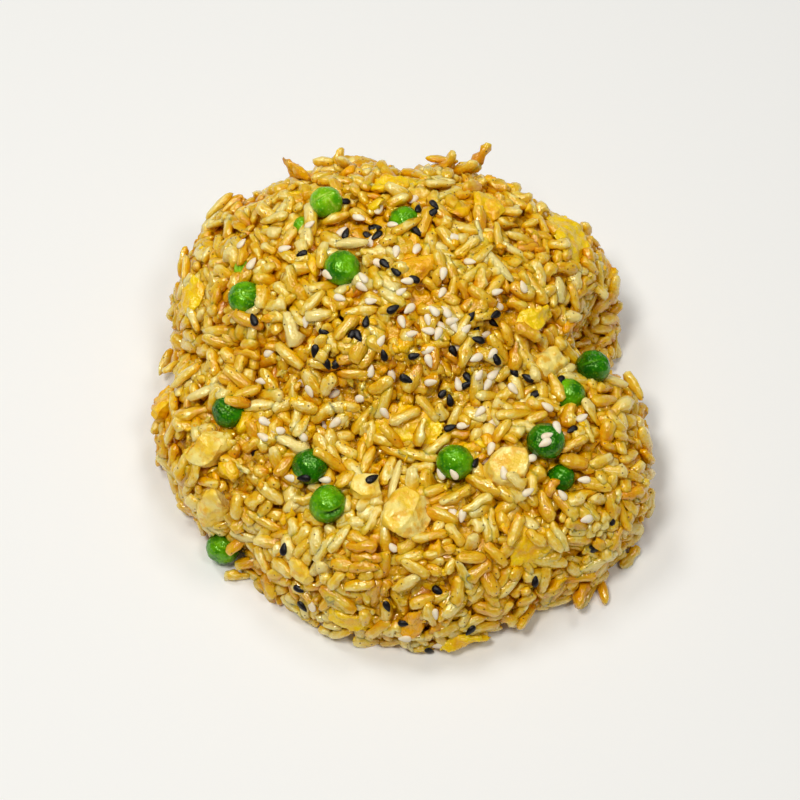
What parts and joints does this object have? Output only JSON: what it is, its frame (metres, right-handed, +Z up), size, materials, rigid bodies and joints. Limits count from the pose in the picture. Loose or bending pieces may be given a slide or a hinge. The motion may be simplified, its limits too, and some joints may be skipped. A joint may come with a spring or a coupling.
{
  "type": "heap of egg fried rice",
  "caption": "Mound of egg fried rice with green peas, chicken chunks, torn scrambled egg and sesame seeds, on its own flat underside.",
  "frame": {"origin": "middle of the flat underside, on the surface that the heap lies on", "axes": "+Z up out of the heap, -Y towards the low near side with most of the chicken, +X to its right"},
  "size_m": [0.1207, 0.1267, 0.0505],
  "materials": {
    "rice": "oily cooked grains, straw yellow with amber between them, soft small highlights",
    "pea": "wet green skin, slightly wrinkled",
    "chicken": "cooked fibrous meat with golden seared spots",
    "egg": "torn scrambled egg, yellow to browned orange",
    "white_sesame": "smooth cream hull",
    "black_sesame": "smooth black hull with a thin sheen"
  },
  "bodies": {
    "root": {"rice": "rice", "pea_back": "pea", "pea_back_split": "pea", "pea_left": "pea", "pea_left_sunk": "pea", "pea_crown": "pea", "pea_crown_sunk": "pea", "pea_shaded": "pea", "pea_pair_upper": "pea", "pea_pair_lower": "pea", "pea_middle": "pea", "pea_seeded": "pea", "pea_under_seeded": "pea", "pea_notch": "pea", "pea_notch_sunk": "pea", "pea_edge": "pea", "pea_rear_left": "pea", "pea_rear_right": "pea", "chicken_left": "chicken", "chicken_flank": "chicken", "chicken_small": "chicken", "chicken_middle": "chicken", "chicken_right": "chicken", "chicken_notch": "chicken", "chicken_sliver": "chicken", "chicken_rear": "chicken", "egg_corner_fold": "egg", "egg_corner_curl": "egg", "egg_crisp_tip": "egg", "egg_back_crumb": "egg", "egg_back_right": "egg", "egg_right_crumb": "egg", "egg_crown": "egg", "egg_shoulder": "egg", "egg_sheet": "egg", "egg_left_edge": "egg", "egg_left_lump": "egg", "egg_front_fold": "egg", "egg_toe_left": "egg", "egg_toe_browned": "egg", "egg_toe_flake": "egg", "egg_right_rim": "egg", "egg_rear_left": "egg", "egg_rear_right": "egg"}
  },
  "joints": []
}
